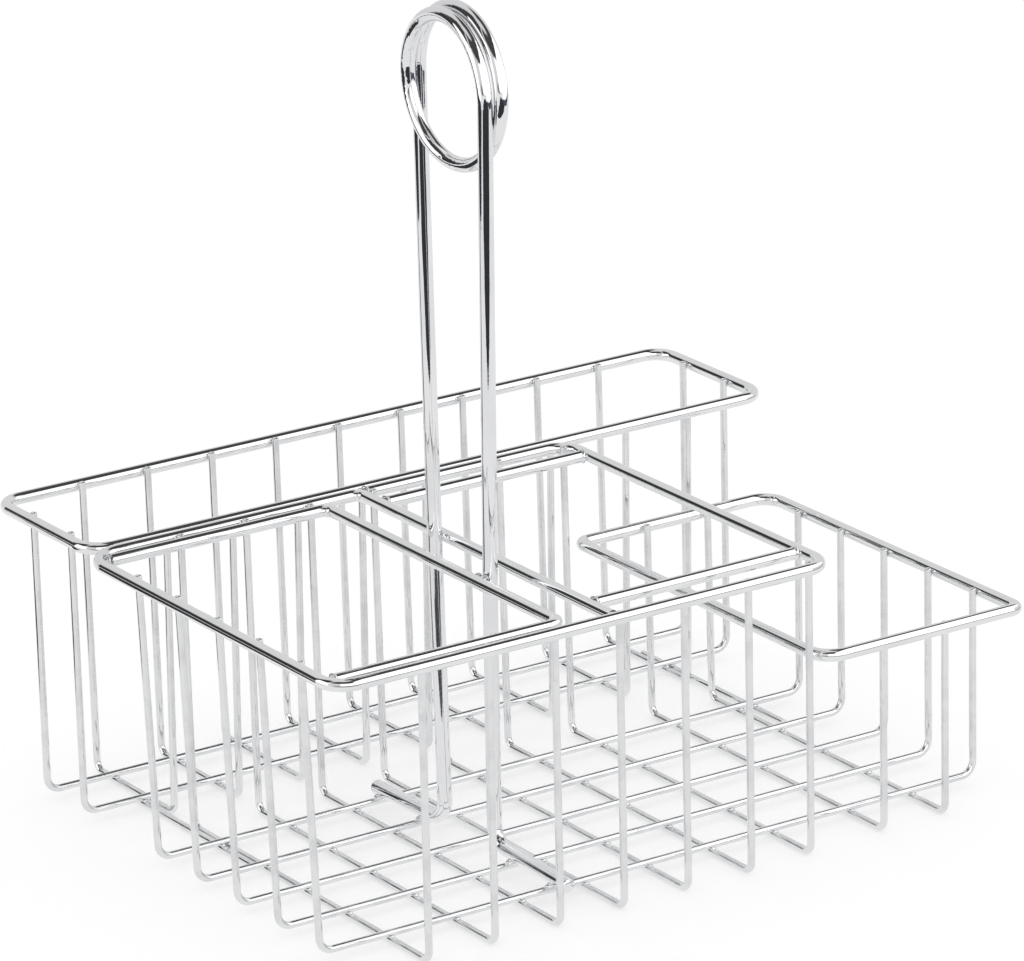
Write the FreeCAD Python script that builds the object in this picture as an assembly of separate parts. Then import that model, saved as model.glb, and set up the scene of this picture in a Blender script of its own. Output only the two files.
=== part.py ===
import FreeCAD, Part
import math
import os

# Wire condiment caddy: a front frame split into a left and a middle bay, a low bay on its right, a long rear bay
# behind all three, and a looped carrying handle standing between the two dividers.
# Built in mm, +Z up, X from left to right and Y from front to back.  It is laid out from the centre lines of
# the front frame's left and front wires, and at the end moved over an origin under the middle of its outline.

# --- stock -----------------------------------------------------------------------------------------------
thin_wire = 2.1            # basket wires and ties
rim_wire = 3.6             # rims, front frame and dividers
handle_rod = 4.2           # carrying handle

# --- heights above the table -----------------------------------------------------------------------------
high_rim_top = 88.2        # front frame and rear rim
low_rim_top = 59.6         # rim of the low bay
ring_height = 221.4        # centre of the handle's ring

# --- rims and dividers, to centre lines ------------------------------------------------------------------
frame_length = 160.0
frame_depth = 128.4
rear_left_inset = 3.3      # rear rim's left side, to the right of the frame's
rear_overhang = 3.7        # its right side, to the right of the low rim's
rear_depth = 52.0
low_gap = 0.6              # low rim's left side, to the right of the frame's right side
low_length = 67.7
low_front_inset = 3.4      # low rim's front, behind the frame's
low_back_inset = 4.5       # its back, in front of the frame's
divider_1_x = 75.2
middle_front_inset = 13.4  # middle bay's front wire, behind the frame's front
middle_back_inset = 10.7   # its back wire, in front of the frame's back

# --- basket wires: cross wires run front to back, long wires left to right -------------------------------
# The first and last wires of a bay stand these distances from its rim or divider, the others evenly between.
left_cross_margins = (28.6, 4.0)
left_cross_count = 3
middle_cross_margin = 3.9  # the first stands against divider 2
middle_cross_count = 4
low_cross_margins = (22.2, 24.1)
low_cross_count = 2
long_margins = (21.4, 23.0)
long_count = 5
rear_cross_margins = (26.2, 24.8)
rear_cross_count = 7
rear_cross_gap = 26.4      # a wider gap parts them from the last ones on the right
rear_right_pitch = 22.0
rear_right_count = 2
rear_long_margins = (15.7, 15.5)
rear_long_count = 2
left_tie_past = (16.4, 3.7)    # how far a tie goes on past the last front and the first rear long wire
right_tie_past = (14.4, 15.3)

# --- how far a leg's foot stands inside its rim ----------------------------------------------------------
frame_back_lean = 1.5
frame_left_lean = 2.9
low_back_lean = 1.0
rear_front_lean = 1.7
rear_back_lean = 1.6
rear_left_lean = 0.5

# --- how far the basket wires' ends rise past the centres of their rims ----------------------------------
front_rise = 0.3
back_rise = 1.4
left_rise = 0.7
right_rise = 1.1

# --- bends, to the wire's centre line --------------------------------------------------------------------
rim_bend = 7.0
frame_back_left_bend = 9.5
low_acute_bend = 3.0       # low rim's back left and front right corners
divider_bend = 3.4
cross_bend = 3.0
long_bend = 4.0
foot_bend = 5.5
knee_bend = 30.0

# --- carrying handle, its places front to back counted from the middle of the frame ----------------------
ring_y = -1.1
ring_radius = 20.2         # where the front leg runs onto it
ring_widening = 1.8        # how much farther out the rod is where it runs off into the rear leg
knee_drop = 4.3            # both legs turn in towards each other just under the high rim
front_knee_y = -18.2
front_foot_y = -11.4
front_foot_in = 3.8        # the foot's way in from its leg, where they meet and at the foot's end
front_end_in = 2.1
front_foot_past = 7.4      # the foot's end, in front of the first long wire
rear_knee_y = 19.2
rear_foot_y = 9.7
rear_foot_in = 5.0
rear_end_in = 6.1
rear_foot_past = 2.4       # the foot's end, behind the last long wire
turn_gap = 0.25            # between one turn of the ring and the next
turn_ease = 0.5            # radians over which the ring picks up its pitch, and loses it again
ring_pieces = 12           # splines that draw the ring
ring_steps = 4             # steps along each of them

# --- what follows from them ------------------------------------------------------------------------------
thin_radius = thin_wire / 2
rim_radius = rim_wire / 2
rod_radius = handle_rod / 2
seat = rim_radius + thin_radius           # centre of a basket wire from the centre of the rim it lies against
high_rim = high_rim_top - rim_radius
low_rim = low_rim_top - rim_radius
cross_level = thin_radius                 # cross wires stand on the table and carry the long wires
long_level = thin_wire + thin_radius
foot_level = 2 * thin_wire + rod_radius   # the handle's feet lie on the long wires
frame_middle = frame_depth / 2
low_left = frame_length + low_gap
low_right = low_left + low_length
low_back = frame_depth - low_back_inset
rear_front = frame_depth + rim_wire       # the rear rim lies against the back of the frame
rear_back = rear_front + rear_depth
rear_right = low_right + rear_overhang

V = FreeCAD.Vector


def corner_arc(before, corner, after, radius):
    """The first, halfway and last points of the bend at a corner."""
    back = (before - corner).normalize()
    ahead = (after - corner).normalize()
    half = back.getAngle(ahead) / 2
    reach = radius / math.tan(half)
    inward = (back + ahead).normalize() * (radius / math.sin(half) - radius)
    return corner + back * reach, corner + inward, corner + ahead * reach


def bent_line(corners, bends, closed=False):
    """Edges of straight runs with an arc at every corner; an open line keeps its first and last points."""
    count = len(corners)
    turning = range(count) if closed else range(1, count - 1)
    arcs = []
    for i, bend in zip(turning, bends):
        arcs.append(corner_arc(corners[i - 1], corners[i], corners[(i + 1) % count], bend))
    here = arcs[-1][2] if closed else corners[0]
    edges = []
    for first, middle, last in arcs:
        edges.append(Part.makeLine(here, first))
        edges.append(Part.Arc(first, middle, last).toShape())
        here = last
    if not closed:
        edges.append(Part.makeLine(here, corners[-1]))
    return edges


def drawn_wire(edges, diameter):
    """A round wire whose centre line follows the edges."""
    start = edges[0].valueAt(edges[0].FirstParameter)
    heading = edges[0].tangentAt(edges[0].FirstParameter)
    section = Part.Wire(Part.Circle(start, heading, diameter / 2).toShape())
    sweep = Part.BRepOffsetAPI.MakePipeShell(Part.Wire(edges))
    sweep.add(section)
    sweep.build()
    sweep.makeSolid()
    return sweep.shape()


def inset_in_rim(along, start, end):
    """How far inside a rim's side an upright basket wire stands, at a place between the rim's two corners."""
    past_bend = max(start + rim_bend - along, along - (end - rim_bend), 0)
    return rim_bend - math.sqrt((rim_bend - seat) ** 2 - past_bend ** 2)


def butted_end(from_corner, bend):
    """Where a rim wire's end meets the inside of a rim's side, near the bend at one of the rim's corners."""
    past_bend = max(bend + rim_radius - from_corner, 0)
    return bend - math.sqrt((bend - rim_radius) ** 2 - past_bend ** 2)


def leg(side, inset, lean, rim_level, level, rise, outward):
    """A basket wire's leg against the inside of a rim's side: its top, the height of its top, and its foot."""
    slope = lean / (rim_level - level)
    at_rim = side - outward * inset * math.hypot(1, slope)
    foot = at_rim - outward * lean
    top = at_rim + outward * slope * rise
    return top, rim_level + rise, foot


def basket_wire(place, level, near, far, bend):
    """A basket wire's bottom and its two legs; place turns a distance along it and a height into a point."""
    corners = [
        place(near[0], near[1]),
        place(near[2], level),
        place(far[2], level),
        place(far[0], far[1]),
    ]
    return drawn_wire(bent_line(corners, [bend] * 2), thin_wire)


def cross_wire(x, front, back):
    return basket_wire(lambda y, z: V(x, y, z), cross_level, front, back, cross_bend)


def long_wire(y, left, right):
    return basket_wire(lambda x, z: V(x, y, z), long_level, left, right, long_bend)


def rounded_rim(left, right, front, back, height, acute_bend):
    """A closed rim, with a bend of its own at its front right and back left corners."""
    corners = [V(left, front, height), V(right, front, height), V(right, back, height), V(left, back, height)]
    return drawn_wire(bent_line(corners, [rim_bend, acute_bend] * 2, closed=True), rim_wire)


def spaced(first, last, count):
    return [first + (last - first) * i / (count - 1) for i in range(count)]


# --- where the basket wires' bottoms run -----------------------------------------------------------------
long_wires = spaced(long_margins[0], frame_depth - long_margins[1], long_count)
rear_long_wires = spaced(rear_front + rear_long_margins[0], rear_back - rear_long_margins[1], rear_long_count)
rear_right_last = rear_right - rear_cross_margins[1]
rear_right_first = rear_right_last - rear_right_pitch * (rear_right_count - 1)
rear_cross_first = rear_left_inset + rear_cross_margins[0]
rear_cross_wires = spaced(rear_cross_first, rear_right_first - rear_cross_gap, rear_cross_count)
rear_cross_wires += spaced(rear_right_first, rear_right_last, rear_right_count)
low_cross_wires = spaced(low_left + low_cross_margins[0], low_right - low_cross_margins[1], low_cross_count)

# --- handle ----------------------------------------------------------------------------------------------
# The front leg is welded to the right of divider 1 and the rear leg to the left of divider 2.  Between them the
# rod goes one and a half times round the ring, each turn lying beside the last.
front_leg_x = divider_1_x + rim_radius + rod_radius
knee_z = high_rim - knee_drop


def ring_tangent(y, reach, outward):
    """The angle on the handle's ring at which a leg coming up from its knee runs onto it."""
    rise = knee_z - ring_height
    run = y - ring_y
    return math.atan2(rise, run) + outward * math.acos(reach / math.hypot(run, rise))


ring_start = ring_tangent(front_knee_y, ring_radius, -1) + 2 * math.pi
ring_sweep = ring_start + 2 * math.pi - ring_tangent(rear_knee_y, ring_radius + ring_widening, 1)
ring_way = ring_sweep - turn_ease
ring_shift = (handle_rod + turn_gap) * ring_way / (2 * math.pi)


def way_gone(turned):
    """The rod's progress sideways and outward, from 0 to 1, eased so that both ends run straight."""
    eased = min(turned, turn_ease) ** 2 / (2 * turn_ease)
    full = min(max(turned - turn_ease, 0), ring_sweep - 2 * turn_ease)
    leaving = max(turned - ring_way, 0)
    return (eased + full + leaving - leaving ** 2 / (2 * turn_ease)) / ring_way


def ring_point(turned):
    angle = ring_start - turned
    way = way_gone(turned)
    reach = ring_radius + ring_widening * way
    y = frame_middle + ring_y + reach * math.cos(angle)
    z = ring_height + reach * math.sin(angle)
    return V(front_leg_x + ring_shift * way, y, z)


def ring_heading(turned):
    angle = ring_start - turned
    reach = ring_radius + ring_widening * way_gone(turned)
    rate = min(turned / turn_ease, 1, (ring_sweep - turned) / turn_ease) / ring_way
    y = ring_widening * rate * math.cos(angle) + reach * math.sin(angle)
    z = ring_widening * rate * math.sin(angle) - reach * math.cos(angle)
    return V(ring_shift * rate, y, z)


def ring_piece(start, end):
    points = [ring_point(start + (end - start) * i / ring_steps) for i in range(ring_steps + 1)]
    spline = Part.BSplineCurve()
    spline.interpolate(Points=points, InitialTangent=ring_heading(start), FinalTangent=ring_heading(end))
    return spline.toShape()


def leg_corners(foot_end, foot, knee, on_ring):
    return [V(*foot_end, foot_level), V(*foot, foot_level), V(*knee, knee_z), on_ring]


rear_leg_x = front_leg_x + ring_shift
divider_2_x = rear_leg_x + rod_radius + rim_radius
front_corners = leg_corners(
    (front_leg_x + front_end_in, long_wires[0] - front_foot_past),
    (front_leg_x + front_foot_in, frame_middle + front_foot_y),
    (front_leg_x, frame_middle + front_knee_y),
    ring_point(0),
)
rear_corners = leg_corners(
    (rear_leg_x - rear_end_in, long_wires[-1] + rear_foot_past),
    (rear_leg_x - rear_foot_in, frame_middle + rear_foot_y),
    (rear_leg_x, frame_middle + rear_knee_y),
    ring_point(ring_sweep),
)
leg_bends = [foot_bend, knee_bend]
rising = bent_line(front_corners, leg_bends)
falling = bent_line(rear_corners[::-1], leg_bends[::-1])
joins = [ring_sweep * i / ring_pieces for i in range(ring_pieces + 1)]
ring = [ring_piece(start, end) for start, end in zip(joins, joins[1:])]
handle = drawn_wire(rising + ring + falling, handle_rod)

# --- front frame and the two bays inside it --------------------------------------------------------------
# One wire starts against divider 2, goes all the way round and turns in to become divider 2.
frame_corners = [
    V(divider_2_x + rim_radius, frame_depth, high_rim),
    V(frame_length, frame_depth, high_rim),
    V(frame_length, 0, high_rim),
    V(0, 0, high_rim),
    V(0, frame_depth, high_rim),
    V(divider_2_x, frame_depth, high_rim),
    V(divider_2_x, rim_radius, high_rim),
]
frame_bends = [rim_bend, rim_bend, rim_bend, frame_back_left_bend, divider_bend]
front_frame = drawn_wire(bent_line(frame_corners, frame_bends), rim_wire)

# The left bay's wire holds the basket wires against the frame, front and back, and makes divider 1.
back_slope = frame_back_lean / (high_rim - cross_level)
left_bay_front = 2 * seat
left_bay_back = frame_depth - 2 * seat * math.hypot(1, back_slope)
left_bay_corners = [
    V(butted_end(frame_depth - left_bay_back, frame_back_left_bend), left_bay_back, high_rim),
    V(divider_1_x, left_bay_back, high_rim),
    V(divider_1_x, left_bay_front, high_rim),
    V(butted_end(left_bay_front, rim_bend), left_bay_front, high_rim),
]
left_bay_rail = drawn_wire(bent_line(left_bay_corners, [divider_bend] * 2), rim_wire)

# The middle bay has a straight wire across its front and one across its back, welded to divider 2 and the frame.
def middle_wire(y):
    ends = V(divider_2_x + rim_radius, y, high_rim), V(frame_length - rim_radius, y, high_rim)
    return drawn_wire([Part.makeLine(*ends)], rim_wire)


middle_front_wire = middle_wire(middle_front_inset)
middle_back_wire = middle_wire(frame_depth - middle_back_inset)

# --- rear and low rims -----------------------------------------------------------------------------------
rear_rim = rounded_rim(rear_left_inset, rear_right, rear_front, rear_back, high_rim, rim_bend)
low_bay_rim = rounded_rim(low_left, low_right, low_front_inset, low_back, low_rim, low_acute_bend)

nodes = {
    "handle": handle,
    "front_frame": front_frame,
    "left_bay_rail": left_bay_rail,
    "middle_front_wire": middle_front_wire,
    "middle_back_wire": middle_back_wire,
    "rear_rim": rear_rim,
    "low_rim": low_bay_rim,
}

# --- basket wires ----------------------------------------------------------------------------------------
# The first cross wire of the middle bay stands against divider 2.
cross_wires = spaced(left_cross_margins[0], divider_1_x - left_cross_margins[1], left_cross_count)
cross_wires += spaced(divider_2_x + seat, frame_length - middle_cross_margin, middle_cross_count)
for i, x in enumerate(cross_wires, 1):
    inset = inset_in_rim(x, 0, frame_length)
    front = leg(0, inset, 0, high_rim, cross_level, front_rise, -1)
    back = leg(frame_depth, inset, frame_back_lean, high_rim, cross_level, back_rise, 1)
    nodes["cross_wire_%d" % i] = cross_wire(x, front, back)

for i, x in enumerate(low_cross_wires, 1):
    inset = inset_in_rim(x, low_left, low_right)
    front = leg(low_front_inset, inset, 0, low_rim, cross_level, front_rise, -1)
    back = leg(low_back, inset, low_back_lean, low_rim, cross_level, back_rise, 1)
    nodes["low_cross_wire_%d" % i] = cross_wire(x, front, back)

for i, y in enumerate(long_wires, 1):
    left_inset = inset_in_rim(y, 0, frame_depth)
    right_inset = inset_in_rim(y, low_front_inset, low_back)
    left = leg(0, left_inset, frame_left_lean, high_rim, long_level, left_rise, -1)
    right = leg(low_right, right_inset, 0, low_rim, long_level, right_rise, 1)
    nodes["long_wire_%d" % i] = long_wire(y, left, right)

for i, x in enumerate(rear_cross_wires, 1):
    inset = inset_in_rim(x, rear_left_inset, rear_right)
    front = leg(rear_front, inset, rear_front_lean, high_rim, cross_level, front_rise, -1)
    back = leg(rear_back, inset, rear_back_lean, high_rim, cross_level, back_rise, 1)
    nodes["rear_cross_wire_%d" % i] = cross_wire(x, front, back)

for i, y in enumerate(rear_long_wires, 1):
    inset = inset_in_rim(y, rear_front, rear_back)
    left = leg(rear_left_inset, inset, rear_left_lean, high_rim, long_level, left_rise, -1)
    right = leg(rear_right, inset, 0, high_rim, long_level, right_rise, 1)
    nodes["rear_long_wire_%d" % i] = long_wire(y, left, right)

# --- ties ------------------------------------------------------------------------------------------------
# Two short wires lie on the table beside an outer cross wire and join the front and rear baskets' long wires.
def tie(x, past):
    front = V(x, long_wires[-1] - past[0], cross_level)
    back = V(x, rear_long_wires[0] + past[1], cross_level)
    return drawn_wire([Part.makeLine(front, back)], thin_wire)


nodes["left_tie"] = tie(cross_wires[0] - thin_wire, left_tie_past)
nodes["right_tie"] = tie(rear_cross_wires[-1] + thin_wire, right_tie_past)

# --- over the origin and out -----------------------------------------------------------------------------
to_origin = V(-rear_right / 2, -rear_back / 2, 0)
os.makedirs("parts", exist_ok=True)
for name, shape in nodes.items():
    shape.translate(to_origin)
    shape.exportStep("parts/" + name + ".step")
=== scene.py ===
import bmesh
import bpy
import math
import random
from mathutils import Matrix, Vector


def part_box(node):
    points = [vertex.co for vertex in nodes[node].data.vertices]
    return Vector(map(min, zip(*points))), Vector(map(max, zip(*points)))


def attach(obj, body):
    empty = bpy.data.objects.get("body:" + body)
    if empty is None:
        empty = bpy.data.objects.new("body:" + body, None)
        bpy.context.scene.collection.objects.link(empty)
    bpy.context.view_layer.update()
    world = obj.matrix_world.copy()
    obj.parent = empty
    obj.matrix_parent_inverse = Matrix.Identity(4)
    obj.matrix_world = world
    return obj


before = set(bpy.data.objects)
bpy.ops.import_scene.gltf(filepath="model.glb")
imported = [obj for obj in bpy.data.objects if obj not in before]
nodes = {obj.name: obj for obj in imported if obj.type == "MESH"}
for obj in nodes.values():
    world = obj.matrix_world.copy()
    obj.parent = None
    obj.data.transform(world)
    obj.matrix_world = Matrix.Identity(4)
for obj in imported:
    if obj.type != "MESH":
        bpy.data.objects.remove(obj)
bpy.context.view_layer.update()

# A welded wire condiment caddy: chromed rims and dividers, thin basket wires and a looped carrying handle.
# Metres throughout.  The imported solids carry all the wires; the pieces made here are the welds that join them
# and the rounded ends of the wires.

MM = 0.001
THIN_RADIUS = 1.05 * MM
RIM_RADIUS = 1.8 * MM
ROD_RADIUS = 2.1 * MM

UP = Vector((0, 0, 1))
BACK = Vector((0, 1, 0))
RIGHT = Vector((1, 0, 0))

RIM_WIRES = ["front_frame", "left_bay_rail", "middle_front_wire", "middle_back_wire", "rear_rim", "low_rim"]
FRONT_CROSS_WIRES = ["cross_wire_%d" % i for i in range(1, 8)]
LOW_CROSS_WIRES = ["low_cross_wire_%d" % i for i in range(1, 3)]
REAR_CROSS_WIRES = ["rear_cross_wire_%d" % i for i in range(1, 10)]
LONG_WIRES = ["long_wire_%d" % i for i in range(1, 6)]
REAR_LONG_WIRES = ["rear_long_wire_%d" % i for i in range(1, 3)]
TIES = ["left_tie", "right_tie"]
CROSS_WIRES = FRONT_CROSS_WIRES + LOW_CROSS_WIRES + REAR_CROSS_WIRES
BASKET_WIRES = CROSS_WIRES + LONG_WIRES + REAR_LONG_WIRES

# --- node trees ------------------------------------------------------------------------------------------
# A Mix node's colour sockets have the same names as its others, so they are found by their places.
MIX_FIRST_COLOR = 6
MIX_SECOND_COLOR = 7
MIX_COLOR_RESULT = 2
NODE_SPACING = 180


class Tree:
    """Places nodes in a node tree and joins them up."""

    def __init__(self, tree):
        self.tree = tree
        self.column = 0

    def add(self, kind, inputs=None, **settings):
        node = self.tree.nodes.new(kind)
        node.location = (self.column * NODE_SPACING, 0)
        self.column += 1
        for name, value in settings.items():
            setattr(node, name, value)
        for socket, value in (inputs or {}).items():
            self.feed(node.inputs[socket], value)
        return node

    def add_group(self, group, inputs):
        return self.add("ShaderNodeGroup", inputs, node_tree=group)

    def feed(self, socket, value):
        if isinstance(value, bpy.types.NodeSocket):
            self.tree.links.new(value, socket)
        else:
            socket.default_value = value

    def maths(self, operation, first, second=0.0):
        return self.add("ShaderNodeMath", {0: first, 1: second}, operation=operation).outputs[0]

    def ramp(self, value, low, high, to_low=0.0, to_high=1.0):
        node = self.add(
            "ShaderNodeMapRange",
            {"Value": value, "From Min": low, "From Max": high, "To Min": to_low, "To Max": to_high},
            interpolation_type="SMOOTHSTEP",
        )
        return node.outputs["Result"]

    def blend(self, mask, first, second):
        node = self.add("ShaderNodeMix", {"Factor": mask, "A": first, "B": second}, data_type="FLOAT")
        return node.outputs[0]

    def blend_colors(self, mask, first, second):
        node = self.add(
            "ShaderNodeMix",
            {"Factor": mask, MIX_FIRST_COLOR: first, MIX_SECOND_COLOR: second},
            data_type="RGBA",
        )
        return node.outputs[MIX_COLOR_RESULT]


def new_group(name, inputs, outputs):
    """An empty shader node group with these named sockets; gives its tree and its two end nodes."""
    group = bpy.data.node_groups.new(name, "ShaderNodeTree")
    for socket, kind, default in inputs:
        made = group.interface.new_socket(socket, in_out="INPUT", socket_type="NodeSocket" + kind)
        if default is not None:
            made.default_value = default
    for socket, kind in outputs:
        group.interface.new_socket(socket, in_out="OUTPUT", socket_type="NodeSocket" + kind)
    tree = Tree(group)
    return group, tree, tree.add("NodeGroupInput"), tree.add("NodeGroupOutput")


def new_material(name):
    """A material with no nodes yet, and its tree."""
    material = bpy.data.materials.new(name)
    material.use_nodes = True
    material.node_tree.nodes.clear()
    return material, Tree(material.node_tree)


# --- chrome ----------------------------------------------------------------------------------------------
SPECK_SCALE = 1400.0
SPECK_HAZE = 0.5


def make_drawn_surface():
    """The slow waviness of drawn and bent wire and the fine pull marks left by the die."""
    group, tree, given, result = new_group(
        "drawn_surface",
        [
            ("Vector", "Vector", None),
            ("Wave Scale", "Float", 90.0),
            ("Mark Scale", "Float", 900.0),
            ("Marks", "Float", 0.2),
        ],
        [("Height", "Float")],
    )
    place = given.outputs["Vector"]
    wave = tree.add(
        "ShaderNodeTexNoise",
        {"Vector": place, "Scale": given.outputs["Wave Scale"], "Detail": 2.0, "Roughness": 0.45},
    )
    marks = tree.add(
        "ShaderNodeTexNoise",
        {"Vector": place, "Scale": given.outputs["Mark Scale"], "Detail": 3.0, "Roughness": 0.6},
    )
    marked = tree.maths("MULTIPLY", marks.outputs["Fac"], given.outputs["Marks"])
    height = tree.maths("ADD", wave.outputs["Fac"], marked)
    tree.feed(result.inputs["Height"], height)
    return group


def make_plating_haze():
    """Where chrome plating is a little duller or greyer: cloudy patches, and small specks."""
    group, tree, given, result = new_group(
        "plating_haze",
        [
            ("Vector", "Vector", None),
            ("Clear Tone", "Color", (0.7, 0.7, 0.7, 1.0)),
            ("Hazy Tone", "Color", (0.6, 0.6, 0.6, 1.0)),
            ("Clear Roughness", "Float", 0.04),
            ("Hazy Roughness", "Float", 0.12),
            ("Cloud Scale", "Float", 60.0),
        ],
        [("Color", "Color"), ("Roughness", "Float")],
    )
    place = given.outputs["Vector"]
    clouds = tree.add(
        "ShaderNodeTexNoise",
        {"Vector": place, "Scale": given.outputs["Cloud Scale"], "Detail": 5.0, "Roughness": 0.6},
    )
    specks = tree.add("ShaderNodeTexVoronoi", {"Vector": place, "Scale": SPECK_SCALE})
    cloudy = tree.ramp(clouds.outputs["Fac"], low=0.42, high=0.68)
    speckled = tree.ramp(specks.outputs["Distance"], low=0.16, high=0.04)
    haze = tree.maths("MAXIMUM", cloudy, tree.maths("MULTIPLY", speckled, SPECK_HAZE))
    tone = tree.blend_colors(haze, given.outputs["Clear Tone"], given.outputs["Hazy Tone"])
    rough = tree.blend(haze, given.outputs["Clear Roughness"], given.outputs["Hazy Roughness"])
    tree.feed(result.inputs["Color"], tone)
    tree.feed(result.inputs["Roughness"], rough)
    return group


DRAWN_SURFACE = make_drawn_surface()
PLATING_HAZE = make_plating_haze()


def chrome(name, clear, hazy, roughness, cloud_scale, wave_scale, wave_height, marks):
    """Chrome plate over drawn wire: its tones, its roughness clear and hazy, and how wavy the wire is."""
    material, tree = new_material(name)
    place = tree.add("ShaderNodeTexCoord").outputs["Object"]
    haze = tree.add_group(
        PLATING_HAZE,
        {
            "Vector": place,
            "Clear Tone": (*clear, 1.0),
            "Hazy Tone": (*hazy, 1.0),
            "Clear Roughness": roughness[0],
            "Hazy Roughness": roughness[1],
            "Cloud Scale": cloud_scale,
        },
    )
    surface = tree.add_group(DRAWN_SURFACE, {"Vector": place, "Wave Scale": wave_scale, "Marks": marks})
    bump = tree.add(
        "ShaderNodeBump",
        {"Height": surface.outputs["Height"], "Distance": wave_height, "Strength": 1.0},
    )
    metal = tree.add(
        "ShaderNodeBsdfPrincipled",
        {
            "Base Color": haze.outputs["Color"],
            "Roughness": haze.outputs["Roughness"],
            "Metallic": 1.0,
            "Normal": bump.outputs["Normal"],
        },
    )
    tree.add("ShaderNodeOutputMaterial", {"Surface": metal.outputs[0]})
    return material


RIM_CHROME = chrome(
    "rim_chrome",
    clear=(0.87, 0.873, 0.88),
    hazy=(0.82, 0.825, 0.835),
    roughness=(0.03, 0.07),
    cloud_scale=45.0,
    wave_scale=55.0,
    wave_height=0.10 * MM,
    marks=0.03,
)
BASKET_CHROME = chrome(
    "basket_chrome",
    clear=(0.83, 0.835, 0.842),
    hazy=(0.75, 0.755, 0.77),
    roughness=(0.08, 0.18),
    cloud_scale=110.0,
    wave_scale=160.0,
    wave_height=0.07 * MM,
    marks=0.04,
)
HANDLE_CHROME = chrome(
    "handle_chrome",
    clear=(0.87, 0.873, 0.885),
    hazy=(0.82, 0.825, 0.84),
    roughness=(0.025, 0.06),
    cloud_scale=40.0,
    wave_scale=45.0,
    wave_height=0.12 * MM,
    marks=0.02,
)
WELD_CHROME = chrome(
    "weld_chrome",
    clear=(0.87, 0.87, 0.875),
    hazy=(0.76, 0.765, 0.78),
    roughness=(0.06, 0.20),
    cloud_scale=320.0,
    wave_scale=420.0,
    wave_height=0.12 * MM,
    marks=0.25,
)


def give(piece, material):
    piece.data.materials.clear()
    piece.data.materials.append(material)
    piece.data.polygons.foreach_set("material_index", [0] * len(piece.data.polygons))


def coat(node, material):
    for held in nodes[node].material_slots:
        held.material = material


for node in RIM_WIRES:
    coat(node, RIM_CHROME)
for node in BASKET_WIRES + TIES:
    coat(node, BASKET_CHROME)
coat("handle", HANDLE_CHROME)

# --- shapes of welds and wire ends -----------------------------------------------------------------------
MERGE_WITHIN = 0.002 * MM
DOME_TURNS = 4                  # steps from the edge of a rounded wire end to its middle
DOME_SKIRT_SHARE = 0.9          # what is hidden in the wire is this much of the wire's radius
BEAD_TURNS = 6                  # steps from one end of a lump of weld metal to the other
COLLAR_SEAT_SHARE = 0.92        # a collar starts inside the wire, at this much of the wire's radius
COLLAR_KNEE_WIDTH = 0.35        # its slope breaks at this much of its width
COLLAR_KNEE_HEIGHT = 0.62       # and at this much of its height
COLLAR_EDGE = 0.04 * MM         # and ends this high over the wire


def new_piece(name, mesh_maker, material):
    """Makes a smooth-shaded piece from a bmesh that mesh_maker fills."""
    bm = bmesh.new()
    mesh_maker(bm)
    bmesh.ops.recalc_face_normals(bm, faces=bm.faces)
    mesh = bpy.data.meshes.new(name)
    bm.to_mesh(mesh)
    bm.free()
    piece = bpy.data.objects.new(name, mesh)
    bpy.context.scene.collection.objects.link(piece)
    mesh.polygons.foreach_set("use_smooth", [True] * len(mesh.polygons))
    give(piece, material)
    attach(piece, "root")


def joined_to(verts):
    """These vertices and all that edges join to them, always in the same order."""
    found = list(verts)
    known = set(verts)
    for vert in found:
        for edge in vert.link_edges:
            other = edge.other_vert(vert)
            if other not in known:
                known.add(other)
                found.append(other)
    return found


def spun_form(bm, outline, at, heading, steps=10):
    """A round form: an outline of (distance along, distance out) points, spun about heading at a place."""
    made = [bm.verts.new((out, 0, along)) for along, out in outline]
    edges = [bm.edges.new(pair) for pair in zip(made, made[1:])]
    bmesh.ops.spin(
        bm,
        geom=made + edges,
        cent=(0, 0, 0),
        axis=UP,
        angle=2 * math.pi,
        steps=steps,
        use_merge=True,
    )
    form = joined_to(made)
    bmesh.ops.remove_doubles(bm, verts=form, dist=MERGE_WITHIN)
    form = [vert for vert in form if vert.is_valid]
    turn = UP.rotation_difference(heading).to_matrix().to_4x4()
    bmesh.ops.transform(bm, matrix=Matrix.Translation(at) @ turn, verts=form)
    return form


def dome_outline(radius, height, skirt):
    """The outline of a rounded wire end, from inside the wire to its middle."""
    points = [(-skirt, 0.0), (-skirt, radius * DOME_SKIRT_SHARE), (0.0, radius)]
    for i in range(1, DOME_TURNS):
        angle = math.pi / 2 * i / DOME_TURNS
        points.append((height * math.sin(angle), radius * math.cos(angle)))
    return points + [(height, 0.0)]


def bead_outline(half_length, radius):
    """The outline of a lump of weld metal."""
    points = []
    for i in range(BEAD_TURNS + 1):
        angle = math.pi * i / BEAD_TURNS
        points.append((-half_length * math.cos(angle), radius * math.sin(angle)))
    return points


def collar_outline(wire_radius, width, height):
    """The outline of a ring of weld metal round a wire, closed on itself."""
    inner = wire_radius * COLLAR_SEAT_SHARE
    return [
        (0.0, inner),
        (0.0, wire_radius + height),
        (width * COLLAR_KNEE_WIDTH, wire_radius + height * COLLAR_KNEE_HEIGHT),
        (width, wire_radius + COLLAR_EDGE),
        (width, inner),
        (0.0, inner),
    ]


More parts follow.
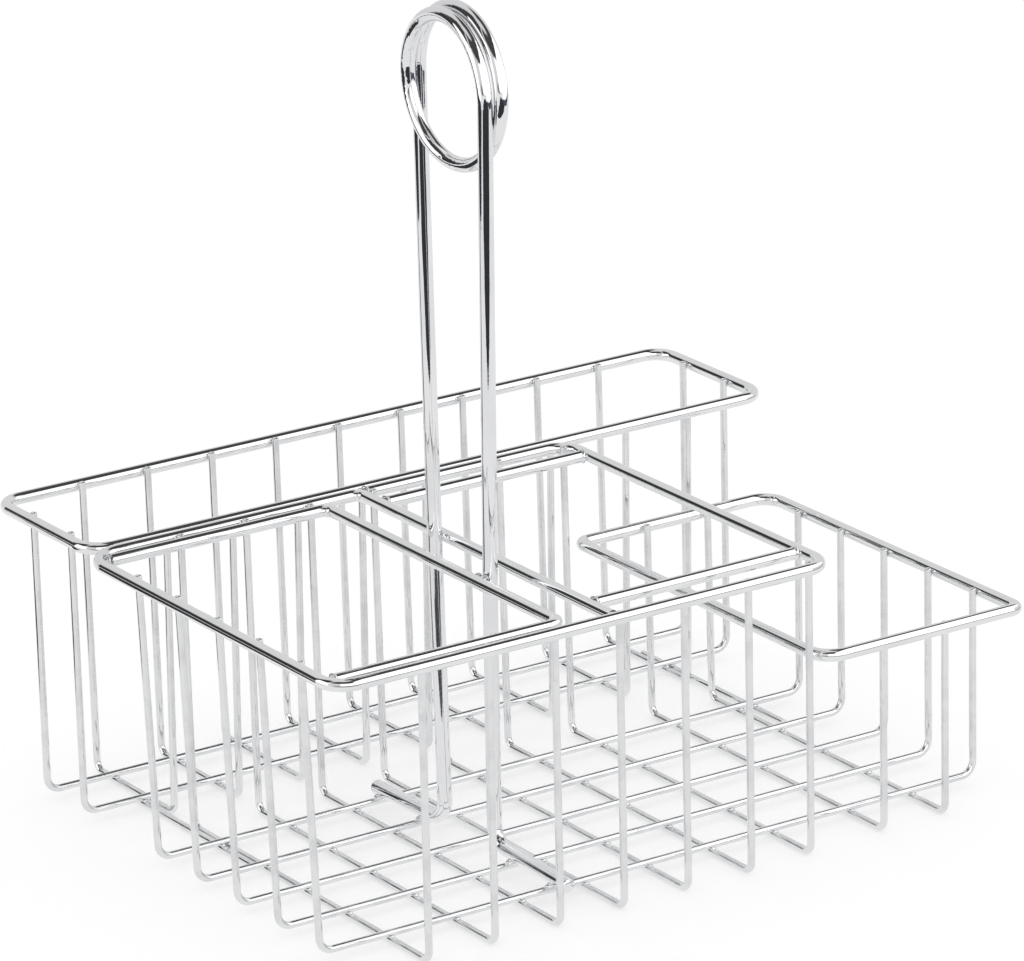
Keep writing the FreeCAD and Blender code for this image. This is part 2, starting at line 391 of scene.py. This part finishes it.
def bead(bm, at, along, sizes, chance, unevenness):
    """An uneven lump of weld metal: half its length along a heading, and half its width and height across."""
    length, width, height = sizes
    lump = spun_form(bm, bead_outline(length, 1 * MM), Vector(), UP, steps=8)
    bmesh.ops.scale(bm, vec=(width / MM, height / MM, 1), verts=lump)
    for vert in lump:
        vert.co *= 1 + chance.uniform(-unevenness, unevenness)
    turn = along.to_track_quat("Z", "Y").to_matrix().to_4x4()
    bmesh.ops.transform(bm, matrix=Matrix.Translation(at) @ turn, verts=lump)


# --- rounded ends of the basket wires, and the welds that hold them to the rims ----------------------------
TIP_BAND = 0.1 * MM             # a leg's end is what lies this near its top
LEG_TIP_HEIGHT = 0.4 * MM
LEG_TIP_SKIRT = 0.3 * MM
RIM_WELD_GAP = 0.1 * MM         # from a leg's side to the middle of its weld
RIM_WELD_WANDER = 0.2 * MM      # how far up or down a weld may stray
RIM_WELD_LENGTHS = (1.15 * MM, 1.45 * MM)
RIM_WELD_WIDTH = 1.25 * MM
RIM_WELD_HEIGHT = 0.55 * MM
RIM_WELD_UNEVENNESS = 0.05


def wire_tips(node, axis):
    """The middles of the two top ends of a basket wire, the lower along the axis first."""
    points = [vert.co for vert in nodes[node].data.vertices]
    lowest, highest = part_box(node)
    middle = (lowest[axis] + highest[axis]) / 2
    tips = []
    for side in (-1, 1):
        leg = [point for point in points if (point[axis] - middle) * side > 0]
        top = max(point.z for point in leg)
        ring = [point for point in leg if point.z > top - TIP_BAND]
        tips.append(sum(ring, Vector()) / len(ring))
    return tips


def basket_tips():
    """Every top end of a basket wire, each with the level heading out of its basket."""
    tips = []
    for node in CROSS_WIRES:
        front, back = wire_tips(node, 1)
        tips += [(front, -BACK), (back, BACK)]
    for node in LONG_WIRES + REAR_LONG_WIRES:
        left, right = wire_tips(node, 0)
        tips += [(left, -RIGHT), (right, RIGHT)]
    return tips


TIPS = basket_tips()


def make_leg_tips(bm):
    for tip, _ in TIPS:
        spun_form(bm, dome_outline(THIN_RADIUS, LEG_TIP_HEIGHT, LEG_TIP_SKIRT), tip, UP)


def make_rim_welds(bm):
    chance = random.Random(11)
    for tip, outward in TIPS:
        drop = RIM_RADIUS + chance.uniform(-RIM_WELD_WANDER, RIM_WELD_WANDER)
        at = tip + outward * (THIN_RADIUS + RIM_WELD_GAP) - UP * drop
        sizes = (chance.uniform(*RIM_WELD_LENGTHS), RIM_WELD_WIDTH, RIM_WELD_HEIGHT)
        bead(bm, at, outward.cross(UP), sizes, chance, RIM_WELD_UNEVENNESS)


new_piece("leg_tips", make_leg_tips, BASKET_CHROME)
new_piece("rim_welds", make_rim_welds, WELD_CHROME)

# --- welds where the basket wires cross -------------------------------------------------------------------
CROSSING_WELD_SIZES = (0.85 * MM, 1.05 * MM)
CROSSING_WELD_HEIGHT = 0.5 * MM
CROSSING_WELD_UNEVENNESS = 0.06


def middle_of(node):
    lowest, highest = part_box(node)
    return (lowest + highest) / 2


def crossings():
    """Where cross wires and ties carry the long wires."""
    pairs = [(FRONT_CROSS_WIRES + LOW_CROSS_WIRES, LONG_WIRES), (REAR_CROSS_WIRES, REAR_LONG_WIRES)]
    found = []
    for crossing, lying in pairs:
        for across in crossing:
            for along in lying:
                found.append((middle_of(across).x, middle_of(along).y))
    for tie in TIES:
        found += [(middle_of(tie).x, middle_of(node).y) for node in (LONG_WIRES[-1], REAR_LONG_WIRES[0])]
    return found


def make_crossing_welds(bm):
    chance = random.Random(5)
    for x, y in crossings():
        at = Vector((x, y, 2 * THIN_RADIUS))
        size = chance.uniform(*CROSSING_WELD_SIZES)
        bead(bm, at, RIGHT + BACK, (size, size, CROSSING_WELD_HEIGHT), chance, CROSSING_WELD_UNEVENNESS)


new_piece("crossing_welds", make_crossing_welds, WELD_CHROME)

# --- butt welds of the rim wires --------------------------------------------------------------------------
MIDDLE_WIRE_COLLAR = (0.9 * MM, 0.35 * MM)      # width, and height over the wire
FRAME_COLLAR = (0.8 * MM, 0.3 * MM)
COLLAR_STEPS = 16


def make_butt_welds(bm):
    for node in ("middle_front_wire", "middle_back_wire"):
        lowest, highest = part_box(node)
        _, y, z = middle_of(node)
        for at, heading in ((Vector((lowest.x, y, z)), RIGHT), (Vector((highest.x, y, z)), -RIGHT)):
            spun_form(bm, collar_outline(RIM_RADIUS, *MIDDLE_WIRE_COLLAR), at, heading, COLLAR_STEPS)
    # The left bay's rail has both its ends against the frame, and the frame's wire starts against its own
    # turned-in end, where the middle bay's wires start too.
    lowest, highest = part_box("left_bay_rail")
    frame_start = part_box("middle_back_wire")[0].x
    frame_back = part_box("front_frame")[1].y
    for x, y in (
        (lowest.x, lowest.y + RIM_RADIUS),
        (lowest.x, highest.y - RIM_RADIUS),
        (frame_start, frame_back - RIM_RADIUS),
    ):
        at = Vector((x, y, highest.z - RIM_RADIUS))
        spun_form(bm, collar_outline(RIM_RADIUS, *FRAME_COLLAR), at, RIGHT, COLLAR_STEPS)


new_piece("butt_welds", make_butt_welds, WELD_CHROME)

# --- handle welds and foot ends ---------------------------------------------------------------------------
FRONT_LEG = Vector((-36.9, -46.0, 86.4)) * MM     # where each leg passes its divider
REAR_LEG = Vector((-30.55, -8.6, 86.4)) * MM
FRONT_FOOT = [Vector((-33.1, -39.2, 6.3)) * MM, Vector((-34.8, -78.0, 6.3)) * MM]    # from bend to end
REAR_FOOT = [Vector((-35.5, -18.1, 6.3)) * MM, Vector((-36.6, 15.8, 6.3)) * MM]
# The lumps of each handle weld: the place along the divider, the rise and half the length.
HANDLE_LUMPS = [
    (-2.2 * MM, 0.7 * MM, 1.7 * MM),
    (0.4 * MM, 0.4 * MM, 1.9 * MM),
    (2.4 * MM, 0.8 * MM, 1.5 * MM),
]
HANDLE_WELD_WIDTH = 0.95 * MM
HANDLE_WELD_HEIGHT = 1.15 * MM
HANDLE_WELD_UNEVENNESS = 0.09
FOOT_WELD_ASIDE = 1.5 * MM      # from the foot's middle line to the weld on each side of it
FOOT_WELD_LEVEL = 4.3 * MM
FOOT_WELD_HEADING = Vector((1, 0.15, 0))
FOOT_WELD_SIZES = (1.3 * MM, 1.2 * MM, 0.75 * MM)
FOOT_WELD_UNEVENNESS = 0.1
FOOT_END_HEIGHT = 0.7 * MM
FOOT_END_SKIRT = 0.4 * MM
FOOT_END_STEPS = 20


def make_handle_welds(bm):
    chance = random.Random(3)
    for leg, side in ((FRONT_LEG, -1), (REAR_LEG, 1)):
        contact = leg + RIGHT * side * ROD_RADIUS
        for y, rise, length in HANDLE_LUMPS:
            sizes = (length, HANDLE_WELD_WIDTH, HANDLE_WELD_HEIGHT)
            bead(bm, contact + BACK * y + UP * rise, BACK, sizes, chance, HANDLE_WELD_UNEVENNESS)


def make_foot_welds(bm):
    chance = random.Random(8)
    for (bend, end), wires in ((FRONT_FOOT, LONG_WIRES[:2]), (REAR_FOOT, LONG_WIRES[3:])):
        for node in wires:
            y = middle_of(node).y
            share = (y - bend.y) / (end.y - bend.y)
            x = bend.x + (end.x - bend.x) * share
            for side in (-1, 1):
                at = Vector((x + side * FOOT_WELD_ASIDE, y, FOOT_WELD_LEVEL))
                bead(bm, at, FOOT_WELD_HEADING, FOOT_WELD_SIZES, chance, FOOT_WELD_UNEVENNESS)


def make_foot_ends(bm):
    outline = dome_outline(ROD_RADIUS, FOOT_END_HEIGHT, FOOT_END_SKIRT)
    for bend, end in (FRONT_FOOT, REAR_FOOT):
        spun_form(bm, outline, end, (end - bend).normalized(), FOOT_END_STEPS)


new_piece("handle_welds", make_handle_welds, WELD_CHROME)
new_piece("foot_welds", make_foot_welds, WELD_CHROME)
new_piece("foot_ends", make_foot_ends, HANDLE_CHROME)

# --- the room --------------------------------------------------------------------------------------------
WHITE = (1.0, 1.0, 1.0)
SOFT_LIGHT = 1.45               # brightness of every soft light
ROOM_BRIGHTNESS = 0.74          # of the bare room, as the chrome reflects it
ROOM_LIGHT = 0.95               # how brightly it lights what is dull

# Soft-edged cards in the room that only the chrome reflects: azimuth of the middle and half the width,
# elevation of the middle and half the height, and width of the soft edge, all in degrees, and brightness.
# A later card covers an earlier one.
ROOM_CARDS = [
    (146.0, 28.0, 49.0, 19.0, 5.0, 0.05),            # black, high at the left
    (128.0, 12.0, 6.0, 26.0, 4.0, 0.04),             # black, low at the left
    (-62.0, 116.0, 58.0, 18.0, 5.0, 0.06),           # black, high from the front round the right to the back
    (-143.0, 16.0, -2.0, 9.0, 5.0, 0.2),             # dark, low beside the camera
    (163.0, 23.0, 10.0, 19.0, 3.0, SOFT_LIGHT),      # a light at the left
    (-90.0, 43.0, 21.0, 19.0, 4.0, SOFT_LIGHT),      # a light to the right of the camera
]


def make_card_mask():
    """Where a soft-edged card stands, from its middle and half its width and height."""
    group, tree, given, result = new_group(
        "card_mask",
        [
            ("Azimuth", "Float", 0.0),
            ("Elevation", "Float", 0.0),
            ("Middle", "Float", 0.0),
            ("Half Width", "Float", 10.0),
            ("Height", "Float", 0.0),
            ("Half Height", "Float", 10.0),
            ("Softness", "Float", 4.0),
        ],
        [("Mask", "Float")],
    )
    masks = []
    for measure, middle, half in (
        ("Azimuth", "Middle", "Half Width"),
        ("Elevation", "Height", "Half Height"),
    ):
        away = tree.maths("SUBTRACT", given.outputs[measure], given.outputs[middle])
        past = tree.maths("SUBTRACT", tree.maths("ABSOLUTE", away), given.outputs[half])
        soft = tree.maths("DIVIDE", past, given.outputs["Softness"])
        masks.append(tree.ramp(soft, low=1.0, high=-1.0))
    tree.feed(result.inputs["Mask"], tree.maths("MULTIPLY", *masks))
    return group


def reflected(tree, rays):
    """1 for a ray that chrome or anything clear sends on, and 0 for any other."""
    return tree.maths("MAXIMUM", rays.outputs["Is Glossy Ray"], rays.outputs["Is Transmission Ray"])


def make_room():
    """Plain white to the camera, an even light to dull things, and a grey room with cards to the chrome."""
    world = bpy.data.worlds.new("studio")
    bpy.context.scene.world = world
    world.use_nodes = True
    world.node_tree.nodes.clear()
    tree = Tree(world.node_tree)
    card_mask = make_card_mask()
    heading = tree.add("ShaderNodeTexCoord").outputs["Generated"]
    parts = tree.add("ShaderNodeSeparateXYZ", {"Vector": heading})
    azimuth = tree.maths("DEGREES", tree.maths("ARCTAN2", parts.outputs["Y"], parts.outputs["X"]))
    elevation = tree.maths("DEGREES", tree.maths("ARCSINE", parts.outputs["Z"]))
    seen = ROOM_BRIGHTNESS
    for middle, half_width, height, half_height, softness, brightness in ROOM_CARDS:
        card = tree.add_group(
            card_mask,
            {
                "Azimuth": azimuth,
                "Elevation": elevation,
                "Middle": middle,
                "Half Width": half_width,
                "Height": height,
                "Half Height": half_height,
                "Softness": softness,
            },
        )
        seen = tree.blend(card.outputs["Mask"], seen, brightness)
    rays = tree.add("ShaderNodeLightPath")
    strength = tree.blend(reflected(tree, rays), ROOM_LIGHT, seen)
    strength = tree.blend(rays.outputs["Is Camera Ray"], strength, 1.0)
    background = tree.add("ShaderNodeBackground", {"Color": (*WHITE, 1.0), "Strength": strength})
    tree.add("ShaderNodeOutputWorld", {"Surface": background.outputs[0]})


# --- table, cards and lights -----------------------------------------------------------------------------
TABLE_HALF_WIDTH = 6.0
TABLE_PAPER = (0.62, 0.62, 0.62)       # how pale the table top is to the camera, with the glow on top
TABLE_GLOW = 0.44
TABLE_BOUNCE = (0.85, 0.85, 0.85)      # how pale it is to what is dull
TABLE_REFLECTED = (0.85, 0.9)          # its darkest and its brightest grain, as the chrome reflects them
GRAIN_SCALE = 220.0

# Black cards on the table: the turn from straight back to a card, the distance to its near edge, its depth,
# and where its left and its right side are.
CARD_BLACK = (0.035, 0.037, 0.042)
CARD_LIFT = 0.2 * MM
FLOOR_CARDS = [
    ("left_card", 33.0, 0.21, 0.5, -0.17, -0.055),
    ("near_card", 150.0, 0.45, 2.5, -0.62, 0.45),
    ("far_card", 62.0, 0.62, 0.5, -0.45, 0.45),
]

# A large soft box stands on the table at the left of the caddy.
SOFT_BOX_WAY = Matrix.Rotation(math.radians(73), 4, "Z")
SOFT_BOX_DISTANCE = 1.1
SOFT_BOX_HALF_WIDTH = 0.46
SOFT_BOX_TOP = 0.84

# A soft light panel hangs at the right of the caddy, and a low dark sill runs far behind the panel.
PANEL_WAY = Matrix.Translation((-0.033, -0.028, 0)) @ Matrix.Rotation(math.radians(-135), 4, "Z")
PANEL_DISTANCE = 0.30
PANEL_HALF_WIDTH = 0.31
PANEL_BOTTOM = 0.18
PANEL_TOP = 0.58
SILL_DARK = (0.07, 0.08, 0.11)
SILL_DISTANCE = 0.80
SILL_HALF_WIDTH = 0.95
SILL_TOP = 0.08


def table_white():
    """A white table top with faint shadows: it glows a little for the camera, and chrome sees it white."""
    material, tree = new_material("table_white")
    place = tree.add("ShaderNodeTexCoord").outputs["Object"]
    grain = tree.add("ShaderNodeTexNoise", {"Vector": place, "Scale": GRAIN_SCALE, "Detail": 3.0})
    darkest, brightest = TABLE_REFLECTED
    tone = tree.ramp(grain.outputs["Fac"], low=0.2, high=0.8, to_low=darkest, to_high=brightest)
    rays = tree.add("ShaderNodeLightPath")
    paper = tree.add("ShaderNodeBsdfDiffuse", {"Color": (*TABLE_PAPER, 1.0), "Roughness": 0.0})
    glow = tree.add("ShaderNodeEmission", {"Color": (*WHITE, 1.0), "Strength": TABLE_GLOW})
    for_camera = tree.add("ShaderNodeAddShader", {0: paper.outputs[0], 1: glow.outputs[0]})
    for_light = tree.add("ShaderNodeBsdfDiffuse", {"Color": (*TABLE_BOUNCE, 1.0)})
    for_chrome = tree.add("ShaderNodeEmission", {"Color": (*WHITE, 1.0), "Strength": tone})
    lit = tree.add(
        "ShaderNodeMixShader",
        {0: reflected(tree, rays), 1: for_light.outputs[0], 2: for_chrome.outputs[0]},
    )
    shown = tree.add(
        "ShaderNodeMixShader",
        {0: rays.outputs["Is Camera Ray"], 1: lit.outputs[0], 2: for_camera.outputs[0]},
    )
    tree.add("ShaderNodeOutputMaterial", {"Surface": shown.outputs[0]})
    return material


def glowing(name, color, strength):
    material, tree = new_material(name)
    glow = tree.add("ShaderNodeEmission", {"Color": (*color, 1.0), "Strength": strength})
    tree.add("ShaderNodeOutputMaterial", {"Surface": glow.outputs[0]})
    return material


def sheet(name, half_width, half_height, place, material):
    """A flat sheet of the studio, drawn lying at the origin and then put in its place."""
    bm = bmesh.new()
    bmesh.ops.create_grid(bm, x_segments=1, y_segments=1, size=1.0)
    bmesh.ops.scale(bm, vec=(half_width, half_height, 1), verts=bm.verts)
    bmesh.ops.transform(bm, matrix=place, verts=bm.verts)
    mesh = bpy.data.meshes.new(name)
    bm.to_mesh(mesh)
    bm.free()
    made = bpy.data.objects.new(name, mesh)
    bpy.context.scene.collection.objects.link(made)
    give(made, material)
    return made


def reflected_sheet(name, half_width, half_height, place, material):
    """A sheet that only the chrome sees: it is in no view, lights nothing dull and casts no shadow."""
    made = sheet(name, half_width, half_height, place, material)
    for rays in ("camera", "diffuse", "transmission", "shadow", "volume_scatter"):
        setattr(made, "visible_" + rays, False)


def standing_sheet(name, way, distance, half_width, bottom, top, material):
    """A sheet that only the chrome sees, upright across a way, this far along it and between two heights."""
    upright = Matrix.Rotation(math.radians(90), 4, "X")
    place = way @ Matrix.Translation((0, distance, (bottom + top) / 2)) @ upright
    reflected_sheet(name, half_width, (top - bottom) / 2, place, material)


def floor_card(name, turn, near_edge, depth, left, right, material):
    way = Matrix.Rotation(math.radians(turn), 4, "Z")
    middle = Matrix.Translation(((left + right) / 2, near_edge + depth / 2, CARD_LIFT))
    reflected_sheet(name, (right - left) / 2, depth / 2, way @ middle, material)


make_room()
sheet("table_top", TABLE_HALF_WIDTH, TABLE_HALF_WIDTH, Matrix.Identity(4), table_white())
black = glowing("card_black", CARD_BLACK, 1.0)
for card in FLOOR_CARDS:
    floor_card(*card, black)
standing_sheet(
    "left_soft_box",
    SOFT_BOX_WAY,
    SOFT_BOX_DISTANCE,
    SOFT_BOX_HALF_WIDTH,
    0.0,
    SOFT_BOX_TOP,
    glowing("soft_box_light", WHITE, SOFT_LIGHT),
)
standing_sheet(
    "light_panel",
    PANEL_WAY,
    PANEL_DISTANCE,
    PANEL_HALF_WIDTH,
    PANEL_BOTTOM,
    PANEL_TOP,
    glowing("panel_light", WHITE, SOFT_LIGHT),
)
standing_sheet(
    "far_sill",
    PANEL_WAY,
    SILL_DISTANCE,
    SILL_HALF_WIDTH,
    0.0,
    SILL_TOP,
    glowing("sill_dark", SILL_DARK, 1.0),
)

# --- camera ----------------------------------------------------------------------------------------------
VIEW_FROM = Vector((-1.016539, -1.551680, 0.730782))
TOWARDS_CAMERA = Vector((-0.518853, -0.790955, 0.324319))
LEVEL_RIGHT = Vector((0.83615, -0.54850, 0.0))
ROLL = math.radians(-1.3209)
IMAGE_WIDTH = 1024
FOCAL_PIXELS = 6992.29
HALF_PIXEL = 0.5
SENSOR = 36.0
NEAREST_SEEN = 0.05
FARTHEST_SEEN = 50.0

outward = TOWARDS_CAMERA.normalized()
level_up = outward.cross(LEVEL_RIGHT.normalized())
across = LEVEL_RIGHT.normalized() * math.cos(ROLL) + level_up * math.sin(ROLL)
upward = outward.cross(across)
lens = bpy.data.cameras.new("camera")
lens.sensor_fit = "HORIZONTAL"
lens.sensor_width = SENSOR
lens.lens = FOCAL_PIXELS * SENSOR / IMAGE_WIDTH
lens.shift_x = -HALF_PIXEL / IMAGE_WIDTH
lens.clip_start = NEAREST_SEEN
lens.clip_end = FARTHEST_SEEN
camera = bpy.data.objects.new("camera", lens)
bpy.context.scene.collection.objects.link(camera)
facing = Matrix((across, upward, outward)).transposed().to_4x4()
camera.matrix_world = Matrix.Translation(VIEW_FROM) @ facing
bpy.context.scene.camera = camera
bpy.context.scene.view_settings.view_transform = "Standard"
